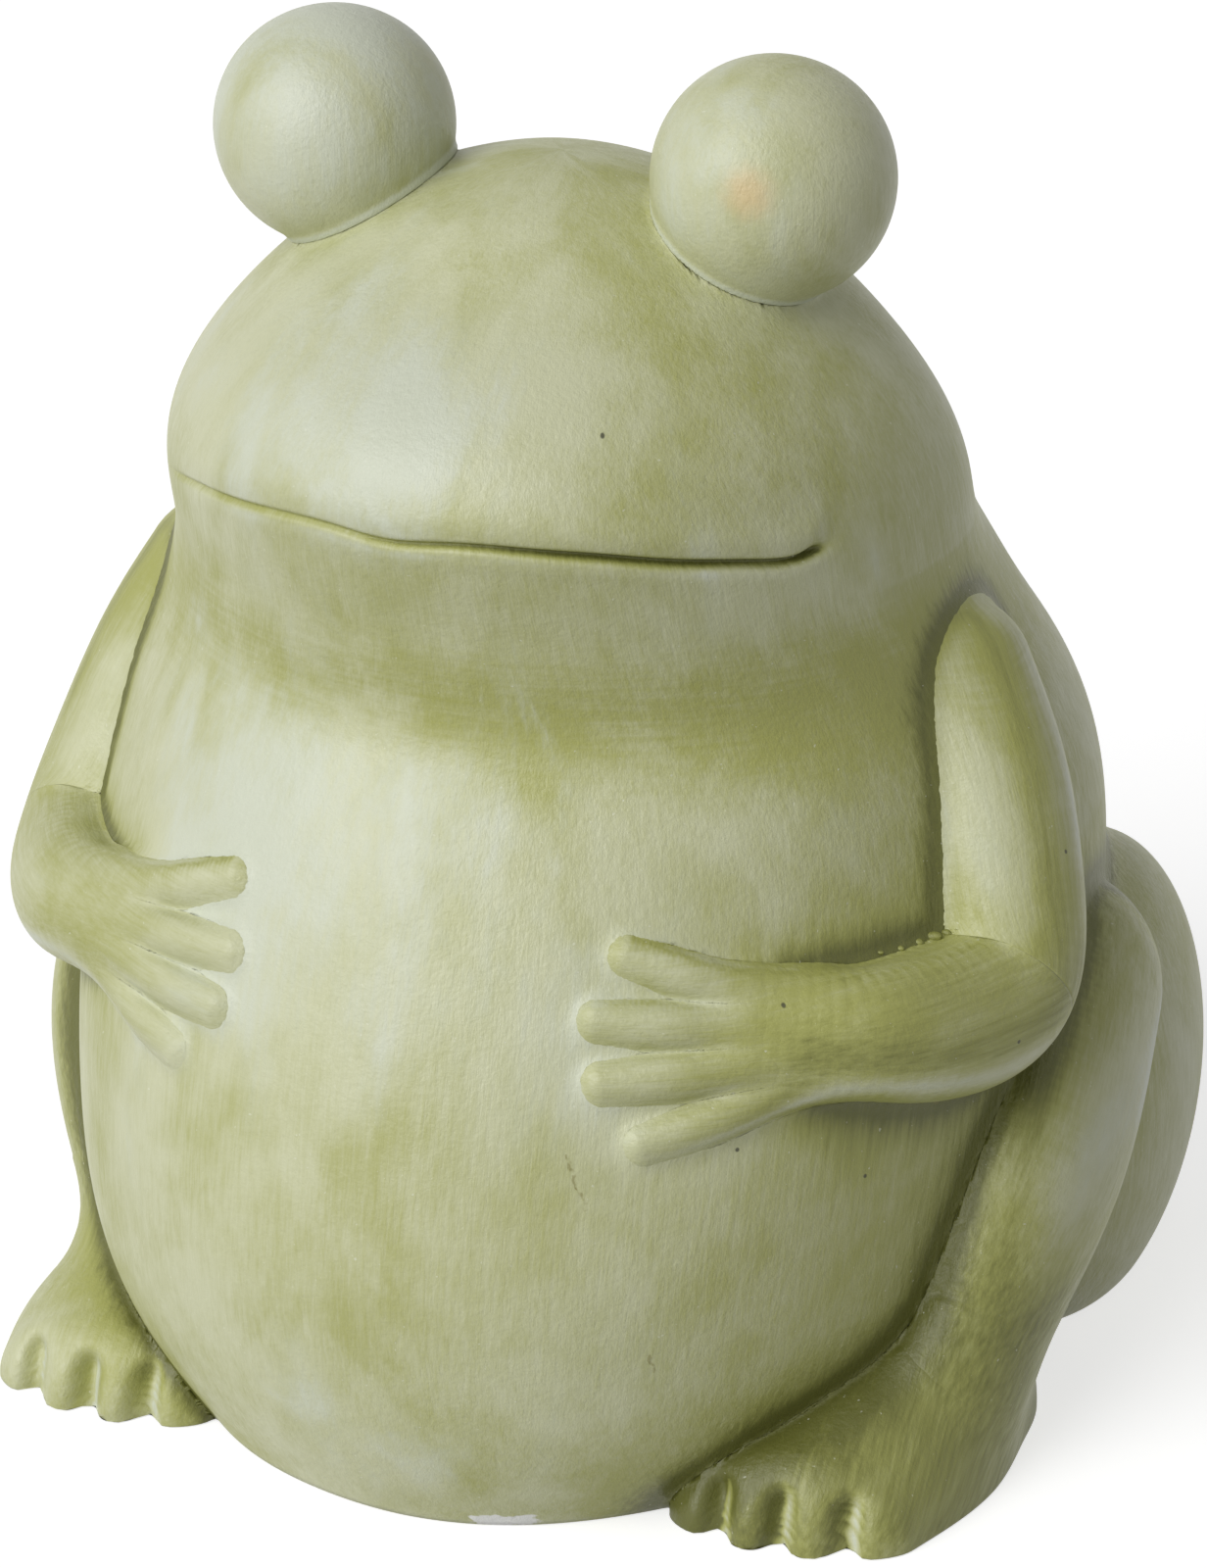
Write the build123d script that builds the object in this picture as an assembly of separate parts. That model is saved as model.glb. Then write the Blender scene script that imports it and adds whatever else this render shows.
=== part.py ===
from build123d import *
import os
from math import cos, radians, sin, sqrt
from typing import NamedTuple

# Seated frog figurine: a hollow body casting with eyes, arms and legs bonded to it.
# It faces -Y, its own left side is +X and it stands on z = 0. Millimetres and degrees.


class Level(NamedTuple):
    """Egg-shaped section of the body: height, half width, widest line, reach to the front and back."""

    height: float
    half_width: float
    widest_y: float
    front: float
    back: float


class Grip(NamedTuple):
    """Station of an arm or finger: bearing from the front, height, lift off the skin, radius."""

    bearing: float
    height: float
    lift: float
    radius: float


class Joint(NamedTuple):
    """Station of a shin: its centre, half thickness outwards and half breadth fore and aft."""

    x: float
    y: float
    height: float
    half_thickness: float
    half_breadth: float


class Instep(NamedTuple):
    """Section of a foot, square to Y: its place, inner and outer edge and height above the floor."""

    y: float
    inner_x: float
    outer_x: float
    height: float


class Toe(NamedTuple):
    """Round toe: the place of its tip across the foot, and its radius."""

    x: float
    radius: float


# Body casting, from the floor to the crown
base_rim = Level(0, 82, -11, 110, 76)
underbelly = Level(25, 100, -9, 121, 99)
belly = Level(60, 109, 0, 125, 119)
waist = Level(100, 111, 10, 116, 124.4)
chest = Level(135, 106.5, 16, 101.5, 114)
throat = Level(169, 94, 6, 82, 91)
jaw = Level(190, 87, -3.3, 88.5, 73.5)
snout = Level(212, 84, -8.4, 95.5, 57)
brow = Level(234, 72.5, -11.2, 89, 43.5)
crown_edge = Level(254, 52, -13, 59, 29)
crown_rise = 18.5
crown_height = crown_edge.height + crown_rise
body_levels = [base_rim, underbelly, belly, waist, chest, throat, jaw, snout, brow, crown_edge]
wall = 9

# Mouth: a shallow groove that arches up at the middle
mouth_half_width = 71
mouth_corner_height = 207.5
mouth_rise = 9.5
mouth_gap = 2.4
mouth_depth = 2
mouth_reach_back = -38

# Eyes: balls that sit on the head, each with a spigot through the wall
eye_radius = 25.4
eye_spread = 48.5
eye_y = -18.5
eye_rise = 1.5
eye_height = crown_height + eye_rise
eye_lean = 30
spigot_radius = 6
spigot_reach = 29
spigot_clearance = 0.3

# Arms: upper arm from shoulder to elbow, forearm from elbow to palm, four fingers.
# The right arm is tucked closer to the body than the left.
shoulder = Grip(84, 168, -8, 18)
upper_arm_middle = Grip(81, 150, -5.5, 19)
above_elbow = Grip(77.5, 129, -1.5, 18.5)
elbow = Grip(72, 109, 2, 17.5)
forearm_middle = Grip(60, 107, 4, 16)
wrist = Grip(50, 110.5, 3.5, 13.5)
palm = Grip(42, 113.5, -0.5, 11.5)
left_arm = [shoulder, upper_arm_middle, above_elbow, elbow, forearm_middle, wrist, palm]
right_tuck = [4, 4, 4, 3, 1, 0, 0]
right_arm = [grip._replace(lift=grip.lift - tuck) for grip, tuck in zip(left_arm, right_tuck)]
elbow_index = left_arm.index(elbow)
knuckles = [
    Grip(40, 118, 1.2, 4.2),
    Grip(39, 113, 1.8, 4.6),
    Grip(39.5, 108.2, 1.8, 4.6),
    Grip(42, 104.5, 1.2, 4.2),
]
left_fingertips = [
    Grip(26, 131, 0.2, 4.4),
    Grip(22.5, 119.5, 0.2, 4.5),
    Grip(23, 107, 0.2, 4.6),
    Grip(27, 94.5, 0.2, 4.1),
]
right_fingertips = [
    Grip(24.5, 135, 0.2, 4.4),
    Grip(22, 120.5, 0.2, 4.5),
    Grip(22.5, 109, 0.2, 4.6),
    Grip(27, 97, 0.2, 4.1),
]
finger_arch = 0.8

# Legs: haunch, shin and foot with four toes. The left leg stands further out than the right.
haunch_middle = (95, 52, 43)
haunch_half_width = 29
haunch_half_length = 58
haunch_half_height = 58
left_leg = [Joint(104, 22, 82, 21, 28), Joint(107, -10, 58, 20, 30), Joint(102, -43, 24, 15, 18)]
right_leg = [Joint(102, 22, 82, 21, 28), Joint(103, -10, 58, 20, 30), Joint(86, -45, 24, 14, 18)]
left_foot_sections = [
    Instep(-8, 98, 108, 8),
    Instep(-16, 92, 112, 20),
    Instep(-34, 84, 114.5, 32),
    Instep(-54, 72, 115, 32),
    Instep(-74, 60, 110, 25),
    Instep(-85, 54, 102, 18),
]
right_foot_sections = [
    Instep(-8, 87, 94, 8),
    Instep(-16, 81, 97, 20),
    Instep(-34, 75, 98, 32),
    Instep(-54, 67, 102, 30),
    Instep(-74, 57, 107, 23),
    Instep(-85, 53, 104.5, 17),
]
left_toes = [Toe(57, 7.5), Toe(70.5, 8), Toe(84, 8.5), Toe(97, 10)]
right_toes = [Toe(58, 8), Toe(74.5, 8.5), Toe(89.5, 8), Toe(99.5, 6.5)]
toe_front = 96.5
toe_length = 22

# Share of the full radius at the extra sections that round off a crown or a limb's end
crown_shares = [0.66, 0.33]
end_shares = [0.5, 0.87]


def egg_face(height, half_width, widest_y, front, back):
    """Half ellipse to the front and half ellipse to the back, met on the widest line."""
    middle = (0, widest_y)
    front_half = EllipticalCenterArc(middle, half_width, front + widest_y, start_angle=180, arc_size=180)
    back_half = EllipticalCenterArc(middle, half_width, back - widest_y, start_angle=0, arc_size=180)
    return Pos(0, 0, height) * make_face(front_half + back_half)


def body_form(inset):
    """Torso and head as one smooth form, drawn in by a wall or a groove's depth."""
    top = crown_height - inset
    squeeze = top / crown_height
    sections = [
        egg_face(
            level.height * squeeze,
            level.half_width - inset,
            level.widest_y,
            level.front - inset,
            level.back - inset,
        )
        for level in body_levels
    ]
    edge_height = crown_edge.height * squeeze
    for share in crown_shares:
        sections.append(
            egg_face(
                top - (top - edge_height) * share**2,
                (crown_edge.half_width - inset) * share,
                crown_edge.widest_y,
                (crown_edge.front - inset + crown_edge.widest_y) * share - crown_edge.widest_y,
                (crown_edge.back - inset - crown_edge.widest_y) * share + crown_edge.widest_y,
            )
        )
    return loft([*sections, Vertex(0, crown_edge.widest_y, top)])


def eye_axis():
    """Place of the left eye's ball, with its local Z leaning outwards along the spigot."""
    return Location((eye_spread, eye_y, eye_height), (0, eye_lean, 0))


def mouth_groove():
    """Curved band across the face, kept to the groove's depth under the skin."""
    half_gap = mouth_gap / 2
    top_height = mouth_corner_height + mouth_rise
    upper = ThreePointArc(
        (-mouth_half_width, mouth_corner_height + half_gap),
        (0, top_height + half_gap),
        (mouth_half_width, mouth_corner_height + half_gap),
    )
    lower = ThreePointArc(
        (-mouth_half_width, mouth_corner_height - half_gap),
        (0, top_height - half_gap),
        (mouth_half_width, mouth_corner_height - half_gap),
    )
    ends = Line(upper @ 0, lower @ 0) + Line(upper @ 1, lower @ 1)
    front_of_all = -2 * snout.front
    face = Plane.XZ.offset(-front_of_all) * make_face(upper + lower + ends)
    band = extrude(face, amount=front_of_all - mouth_reach_back)
    return band - body_form(mouth_depth)


def body_shell(outer):
    """Hollow casting, open underneath, with the mouth groove and the two spigot holes."""
    hole = Cylinder(
        spigot_radius + spigot_clearance,
        2 * spigot_reach,
        align=(Align.CENTER, Align.CENTER, Align.MAX),
    )
    left_hole = eye_axis() * hole
    return outer - body_form(wall) - mouth_groove() - left_hole - mirror(left_hole, about=Plane.YZ)


def eye(outer):
    """Ball trimmed to the head's skin, with its spigot."""
    spigot = Cylinder(spigot_radius, spigot_reach, align=(Align.CENTER, Align.CENTER, Align.MAX))
    return eye_axis() * Sphere(eye_radius) - outer + eye_axis() * spigot


def limb(stations, outward):
    """Smooth limb through (centre, half thickness, half breadth) stations with rounded ends."""
    centres = [station[0] for station in stations]
    first = (centres[1] - centres[0]).normalized()
    last = (centres[-1] - centres[-2]).normalized()
    inner = [(after - before).normalized() for before, after in zip(centres, centres[2:])]

    def ring(centre, direction, thickness, breadth):
        across = outward - direction * outward.dot(direction)
        return Plane(origin=centre, x_dir=across, z_dir=direction) * Ellipse(thickness, breadth)

    def end_rings(station, direction, sign):
        centre, thickness, breadth = station
        length = sign * (thickness + breadth) / 2
        return [
            ring(centre + direction * length * sqrt(1 - s**2), direction, thickness * s, breadth * s)
            for s in end_shares
        ]

    def tip(station, direction):
        centre, thickness, breadth = station
        return Vertex(*(centre + direction * (thickness + breadth) / 2))

    rings = [ring(c, d, t, b) for (c, t, b), d in zip(stations, [first, *inner, last])]
    start = end_rings(stations[0], first, -1)
    end = end_rings(stations[-1], last, 1)
    return loft([tip(stations[0], -first), *start, *rings, *reversed(end), tip(stations[-1], last)])


def facing(bearing):
    """Level direction out of the body at a bearing from the front."""
    return Vector(sin(radians(bearing)), -cos(radians(bearing)), 0)


def on_skin(outer, grip):
    """Round arm or finger station, set out from the body's skin."""
    outward = facing(grip.bearing)
    hits = outer.find_intersection_points(Axis((0, 0, grip.height), outward))
    point, normal = max(hits, key=lambda hit: hit[0].dot(outward))
    return point + normal * grip.lift, grip.radius, grip.radius


def elbow_plane(outer, arm):
    """Plane that halves the bend of the elbow, where the two castings of an arm meet."""
    near_elbow = arm[elbow_index - 1 : elbow_index + 2]
    before, middle, after = [on_skin(outer, grip)[0] for grip in near_elbow]
    along = (middle - before).normalized() + (after - middle).normalized()
    return Plane(origin=middle, z_dir=along)


def upper_arm(outer, arm):
    """Upper arm, laid against the flank."""
    stations = [on_skin(outer, grip) for grip in arm[: elbow_index + 1]]
    whole = limb(stations, facing(above_elbow.bearing))
    return split(whole, bisect_by=elbow_plane(outer, arm), keep=Keep.BOTTOM) - outer


def finger(outer, knuckle, tip):
    """One finger, a little arched between its knuckle and its tip."""
    middle = Grip(
        (knuckle.bearing + tip.bearing) / 2,
        (knuckle.height + tip.height) / 2,
        (knuckle.lift + tip.lift) / 2 + finger_arch,
        (knuckle.radius + tip.radius) / 2,
    )
    return limb([on_skin(outer, grip) for grip in (knuckle, middle, tip)], facing(middle.bearing))


def forearm(outer, arm, fingertips):
    """Forearm and hand in one casting, laid on the belly and met with the upper arm at the elbow."""
    stations = [on_skin(outer, grip) for grip in arm[elbow_index:]]
    hand = limb(stations, facing(forearm_middle.bearing))
    hand = split(hand, bisect_by=elbow_plane(outer, arm), keep=Keep.TOP)
    for knuckle, tip in zip(knuckles, fingertips):
        hand += finger(outer, knuckle, tip)
    return hand - outer


def above_floor(piece):
    """Piece cut flat where it stands."""
    return split(piece, bisect_by=Plane.XY, keep=Keep.TOP)


def haunch(outer):
    """Folded thigh, a broad lump low on the flank."""
    lump = scale(Sphere(1), by=(haunch_half_width, haunch_half_length, haunch_half_height))
    return above_floor(Pos(*haunch_middle) * lump) - outer


def sole_face(section):
    """Half ellipse that stands on the floor."""
    half_width = (section.outer_x - section.inner_x) / 2
    middle_x = (section.outer_x + section.inner_x) / 2
    top = EllipticalCenterArc((0, 0), half_width, section.height, start_angle=0, arc_size=180)
    base = Line((-half_width, 0), (half_width, 0))
    plane = Plane(origin=(middle_x, section.y, 0), x_dir=(1, 0, 0), z_dir=(0, -1, 0))
    return plane * make_face(top + base)


def toe_form(toe):
    """One short round toe that lies along the foot."""
    tip = Vector(toe.x, -toe_front + toe.radius, toe.radius)
    root = tip + Vector(0, toe_length, 0)
    stations = [(root, toe.radius, toe.radius), (tip, toe.radius, toe.radius)]
    return limb(stations, Vector(0, 0, 1))


def foot(outer, thigh, sections, toes):
    """Foot with a flat sole and four toes."""
    lump = loft([sole_face(section) for section in sections])
    for toe in toes:
        lump += toe_form(toe)
    return above_floor(lump) - outer - thigh


def shin(outer, thigh, foot_below, leg):
    """Shin from the knee down to the ankle, between the haunch and the belly."""
    stations = [(Vector(j.x, j.y, j.height), j.half_thickness, j.half_breadth) for j in leg]
    return above_floor(limb(stations, Vector(1, 0, 0))) - outer - thigh - foot_below


def build():
    """All pieces by name. Each pair is made on the left side and the right one is mirrored."""
    outer = body_form(0)
    thigh = haunch(outer)
    left_foot = foot(outer, thigh, left_foot_sections, left_toes)
    right_foot = foot(outer, thigh, right_foot_sections, right_toes)
    pairs = {
        "eye": [eye(outer)] * 2,
        "upper_arm": [upper_arm(outer, left_arm), upper_arm(outer, right_arm)],
        "forearm": [forearm(outer, left_arm, left_fingertips), forearm(outer, right_arm, right_fingertips)],
        "haunch": [thigh] * 2,
        "shin": [shin(outer, thigh, left_foot, left_leg), shin(outer, thigh, right_foot, right_leg)],
        "foot": [left_foot, right_foot],
    }
    pieces = {"body_shell": body_shell(outer)}
    for name, (left_piece, right_piece) in pairs.items():
        pieces[f"left_{name}"] = left_piece
        pieces[f"right_{name}"] = mirror(right_piece, about=Plane.YZ)
    return pieces


os.makedirs("parts", exist_ok=True)
for name, piece in build().items():
    export_step(piece, f"parts/{name}.step")
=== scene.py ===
# %% [markdown]
# # A seated frog, cast and washed
# The ornament is a hollow body casting with eyes, arms and legs bonded on, and a thin green wash brushed
# over its pale grit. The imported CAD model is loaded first. It is the frame: every piece below sits where the
# CAD says and stands for one of its nodes. The CAD box is kept, so that the dressed model can be compared.

import bpy
import numpy as np
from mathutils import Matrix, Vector


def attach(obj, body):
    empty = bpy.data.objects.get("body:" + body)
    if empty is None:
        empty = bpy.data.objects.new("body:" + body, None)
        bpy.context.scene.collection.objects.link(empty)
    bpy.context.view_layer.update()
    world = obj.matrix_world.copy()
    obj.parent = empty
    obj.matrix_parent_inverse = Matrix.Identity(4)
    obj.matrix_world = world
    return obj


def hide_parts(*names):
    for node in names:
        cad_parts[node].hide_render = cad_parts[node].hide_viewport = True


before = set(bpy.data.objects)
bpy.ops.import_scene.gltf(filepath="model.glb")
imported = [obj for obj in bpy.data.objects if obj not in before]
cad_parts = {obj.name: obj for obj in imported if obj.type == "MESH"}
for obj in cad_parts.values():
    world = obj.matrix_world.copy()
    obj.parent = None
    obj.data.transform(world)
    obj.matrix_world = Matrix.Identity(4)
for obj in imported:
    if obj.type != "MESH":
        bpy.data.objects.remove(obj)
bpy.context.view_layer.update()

# %% [markdown]
# ## Smooth curves
# A caster's form changes evenly from section to section. A chain of straight cones would show a ring at each
# section, so sections and limbs run along natural cubic splines, which carry slope and bend through each
# point. The short functions after them are used all through the lesson.

# %% Splines and small helpers


def smooth_curve(places, values):
    """Cubic between each two places, with equal slope and bend where cubics meet and no bend at the ends."""
    places = np.asarray(places, float)
    values = np.asarray(values, float)
    step = np.diff(places)
    slope = np.diff(values, axis=0) / step[:, None]
    system = np.eye(len(places))
    inner = np.arange(1, len(places) - 1)
    system[inner, inner - 1] = step[:-1]
    system[inner, inner] = 2 * (step[:-1] + step[1:])
    system[inner, inner + 1] = step[1:]
    change = np.zeros(values.shape)
    change[1:-1] = 6 * np.diff(slope, axis=0)
    bend = np.linalg.solve(system, change)

    def curve(at):
        at = np.asarray(at, float)
        k = np.clip(np.searchsorted(places, at) - 1, 0, len(step) - 1)
        width = step[k][..., None]
        after = (at[..., None] - places[k][..., None]) / width
        before = 1 - after
        straight = before * values[k] + after * values[k + 1]
        bow = (before**3 - before) * bend[k] + (after**3 - after) * bend[k + 1]
        return straight + bow * width**2 / 6

    return curve


def along_path(points):
    """Distance from the first point, measured straight from each point to the next."""
    return np.append(0, np.cumsum(np.linalg.norm(np.diff(points, axis=0), axis=1)))


def unit(vectors):
    """Vectors divided by their own length."""
    return vectors / np.maximum(np.linalg.norm(vectors, axis=-1, keepdims=True), 1e-9)


def by_gradient(level, gradient):
    """Distance and way out: a level value over the length of its gradient."""
    size = np.linalg.norm(gradient, axis=1)
    return level / size, gradient / size[:, None]


def fading(distance, reach):
    """1 inside a piece, falling off outside it over a reach."""
    return np.exp(-np.maximum(distance, 0) / reach)


def eased(value):
    """Smooth step of a value from 0 to 1."""
    return value * value * (3 - 2 * value)


def bell(value, middle, width):
    """1 at the middle, falling off evenly to both sides."""
    return np.exp(-(((value - middle) / width) ** 2))


print("arch of a spline through 0, 1, 0:", smooth_curve([0, 1, 2], [[0], [1], [0]])(0.5))

# %% [markdown]
# ## The body's skin
# Torso and head are one egg-like form. Each level is two half ellipses, one to the front and one to the back,
# met on the widest line. Sizes are millimetres: height, half width, widest line, reach to front and back.
# Besides the surface itself we need its distance from any point, because arms, legs and eyes are set out from
# the skin and blend into it. A level curve divided by its own gradient gives that distance closely enough.

# %% Body levels
body_levels = np.array([
    [0, 82, -11, 110, 76],
    [25, 100, -9, 121, 99],
    [60, 109, 0, 125, 119],
    [100, 111, 10, 116, 124.4],
    [135, 106.5, 16, 101.5, 114],
    [155, 100, 11, 90.5, 103],
    [170, 93.2, 5.4, 83.5, 90.5],
    [182, 89, 0.5, 85, 80.5],
    [193, 86.5, -4, 88.2, 71],
    [206, 85.4, -7.2, 93.4, 61],
    [221, 81, -9.5, 96.5, 51.5],
    [237, 70.5, -11.5, 86.5, 41.5],
    [254, 52, -13, 59, 29],
])
crown_height = 272.5
wall = 9


class Skin:
    """Stack of egg sections on a spline, closed by a round crown."""

    def __init__(self, inset):
        height, half_width, widest, front, back = body_levels.T
        top = crown_height - inset
        height = height * top / crown_height
        reaches = [front - inset + widest, back - inset - widest]
        sections = np.stack([height, half_width - inset, widest, *reaches], 1)
        edge = sections[-1]
        self.edge, self.top = edge, top
        shares = np.array([0.66, 0.33, 0, -0.33, -0.66])[:, None]
        crown = np.hstack([
            top - (top - edge[0]) * shares**2,
            edge[1] * shares,
            np.full(shares.shape, edge[2]),
            edge[3:] * shares,
        ])
        sections = np.vstack([sections, crown])
        places = along_path(sections[:, :2])
        self.levels = smooth_curve(places, sections)
        self.pole = places[len(body_levels) + 2]
        table_places = np.linspace(0, self.pole - 0.05, 1200)
        self.table = self.levels(table_places)
        self.places = table_places
        self.slopes = np.gradient(self.table, axis=0) / np.gradient(self.table[:, :1], axis=0)

    def surface(self, along, around):
        """x = half width * sin, y = widest line - reach * cos, with the front reach where cos is positive."""
        height, half_width, widest, front, back = np.moveaxis(self.levels(along), -1, 0)
        reach = np.where(np.cos(around) > 0, front, back)
        y = widest - reach * np.cos(around)
        return np.stack(np.broadcast_arrays(half_width * np.sin(around), y, height), -1)

    def side_gap(self, points):
        """Distance from the sides and the way out: (ratio - 1) over the ratio's gradient."""
        x, y, z = points.T
        pick = np.interp(z, self.table[:, 0], np.arange(len(self.table)))
        pick = np.clip(np.round(pick).astype(int), 0, len(self.table) - 1)
        _, half_width, widest, front, back = self.table[pick].T
        _, wider, shift, front_grows, back_grows = self.slopes[pick].T
        depth = y - widest
        reach = np.where(depth < 0, front, back)
        reach_grows = np.where(depth < 0, front_grows, back_grows)
        ratio = np.maximum(np.hypot(x / half_width, depth / reach), 1e-6)
        rise = -(x**2 * wider / half_width**3 + depth**2 * reach_grows / reach**3 + depth * shift / reach**2)
        gradient = np.stack([x / half_width**2, depth / reach**2, rise], 1) / ratio[:, None]
        return by_gradient(ratio - 1, gradient)

    def crown_gap(self, points):
        """Distance from the crown, a bowl turned over: its height falls with the square of the ratio."""
        x, y, z = points.T
        height, half_width, widest, front, back = self.edge
        depth = y - widest
        reach = np.where(depth < 0, front, back)
        fall = self.top - height
        above = z - self.top + fall * ((x / half_width) ** 2 + (depth / reach) ** 2)
        gradient = np.stack([2 * fall * x / half_width**2, 2 * fall * depth / reach**2, np.ones(len(x))], 1)
        return by_gradient(above, gradient)

    def gap(self, points):
        """Distance above the skin and the way out: the sides below the crown's edge, the crown above it."""
        share = np.clip((points[:, 2] - self.edge[0]) / 8 + 0.5, 0, 1)
        side_distance, side_out = self.side_gap(points)
        crown_distance, crown_out = self.crown_gap(points)
        outward = side_out * (1 - share)[:, None] + crown_out * share[:, None]
        return side_distance * (1 - share) + crown_distance * share, unit(outward)

    def on(self, bearing, height, lift):
        """Point at a bearing from the front, in degrees, and a height, lifted off the skin."""
        place = np.interp(height, self.table[:, 0], self.places)
        around = np.linspace(-np.pi, np.pi, 4001)
        ring = self.surface(np.full(around.shape, place), around)
        bearings = np.unwrap(np.arctan2(ring[:, 0], -ring[:, 1]))
        turn = np.interp(np.radians(bearing), bearings, around)
        point = self.surface(np.array([place]), np.array([turn]))
        return (point + lift * self.gap(point)[1])[0]


skin = Skin(0)
print("skin from floor to crown:", round(float(skin.pole), 1), "mm along its side")

# %% [markdown]
# ## Limbs, balls and feet
# Every bonded piece is a simple solid too, with its own distance. A limb is an ellipsoid that slides along a
# spline and changes size on the way, so its ends come out round. A ball or a haunch is one ellipsoid. A foot
# is a row of half ellipses that stand on the floor.

# %% Distance of each kind of piece
FAR = 99.0


def near_box(points, low, high, margin=11):
    """Mask of the points within a margin of a box."""
    return np.all((points > low - margin) & (points < high + margin), axis=1)


def masked_gap(points, low, high, gap):
    """Works out a distance only near the piece, and answers FAR elsewhere."""
    mask = near_box(points, low, high)
    distance = np.full(len(points), FAR)
    outward = np.zeros(points.shape)
    if mask.any():
        distance[mask], outward[mask] = gap(points[mask])
    return distance, outward


class Lump:
    """Ellipsoid: the ratio is the length of the offset divided by the three half sizes."""

    def __init__(self, middle, half_sizes):
        self.middle = np.array(middle, float)
        self.half_sizes = np.broadcast_to(np.array(half_sizes, float), 3)

    def surface(self, rows, columns):
        """Ball in polar angles, stretched by the half sizes."""
        polar = np.linspace(0, np.pi, rows)[:, None]
        turn = np.linspace(0, 2 * np.pi, columns, endpoint=False)[None]
        ball = np.broadcast_arrays(np.sin(polar) * np.cos(turn), np.sin(polar) * np.sin(turn), np.cos(polar))
        return self.middle + np.stack(ball, -1) * self.half_sizes

    def gap(self, points):
        def inside(near):
            share = (near - self.middle) / self.half_sizes
            ratio = np.maximum(np.linalg.norm(share, axis=1), 1e-6)
            gradient = share / self.half_sizes / ratio[:, None]
            return by_gradient(ratio - 1, gradient)

        return masked_gap(points, self.middle - self.half_sizes, self.middle + self.half_sizes, inside)


class Limb:
    """Ellipsoid that slides along a spline: centres, half thickness outwards and half breadth."""

    def __init__(self, centres, thickness, breadth, outward, samples=44):
        stations = np.column_stack([centres, thickness, breadth])
        places = along_path(stations[:, :3])
        self.at = smooth_curve(places, stations)
        self.places = places
        self.outward = np.array(outward, float)
        self.rings = self.frame(np.linspace(0, places[-1], samples))
        reach = self.rings[2].max()
        self.low = self.rings[0].min(0) - reach
        self.high = self.rings[0].max(0) + reach

    def frame(self, along):
        """Centres, three axes (outwards, across, along) and three half sizes at places on the path."""
        here = self.at(along)
        ahead = self.at(np.minimum(along + 0.5, self.places[-1]))[:, :3]
        behind = self.at(np.maximum(along - 0.5, 0))[:, :3]
        tangent = unit(ahead - behind)
        out = unit(self.outward - tangent * (tangent @ self.outward)[:, None])
        across = np.cross(tangent, out)
        sizes = np.column_stack([here[:, 3], here[:, 4], (here[:, 3] + here[:, 4]) / 2])
        return here[:, :3], np.stack([out, across, tangent], 2), sizes

    def gap(self, points):
        def inside(near):
            centres, axes, sizes = self.rings
            offset = near[:, None] - centres[None]
            local = np.einsum("nmk,mki->nmi", offset, axes) / sizes
            ratio = np.linalg.norm(local, axis=2)
            k = ratio.argmin(1)
            rows = np.arange(len(near))
            best = np.maximum(ratio[rows, k], 1e-6)
            gradient = np.einsum("nki,ni->nk", axes[k], local[rows, k] / sizes[k]) / best[:, None]
            return by_gradient(best - 1, gradient)

        return masked_gap(points, self.low, self.high, inside)

    def surface(self, rows, columns, start=0.0, end=None, round_start=True, round_end=True, cap_rows=14):
        """Rings along the path. A round end shrinks its rings as a half ball does; a cut end is flat."""
        end = self.places[-1] if end is None else end
        centres, axes, sizes = self.frame(np.linspace(start, end, rows))
        angle = np.linspace(0, np.pi / 2, cap_rows, endpoint=False)
        swell = np.sin(angle) if round_start else np.array([0.0])
        push = np.cos(angle) if round_start else np.array([0.0])
        shrink = np.sin(angle)[::-1] if round_end else np.array([0.0])
        pull = np.cos(angle)[::-1] if round_end else np.array([0.0])
        share = np.concatenate([swell, np.ones(rows), shrink])
        shift = np.concatenate([-push, np.zeros(rows), pull])
        pick = np.concatenate([np.zeros(len(swell), int), np.arange(rows), np.full(len(shrink), rows - 1)])
        centres, axes, sizes = centres[pick], axes[pick], sizes[pick]
        centres = centres + axes[:, :, 2] * (shift * sizes[:, 2])[:, None]
        turn = np.linspace(0, 2 * np.pi, columns, endpoint=False)
        ring = np.stack([np.cos(turn), np.sin(turn)], 1)
        flat = ring[None] * (sizes[:, :2] * share[:, None])[:, None]
        return centres[:, None] + np.einsum("rci,rki->rck", flat, axes[:, :, :2])


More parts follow.
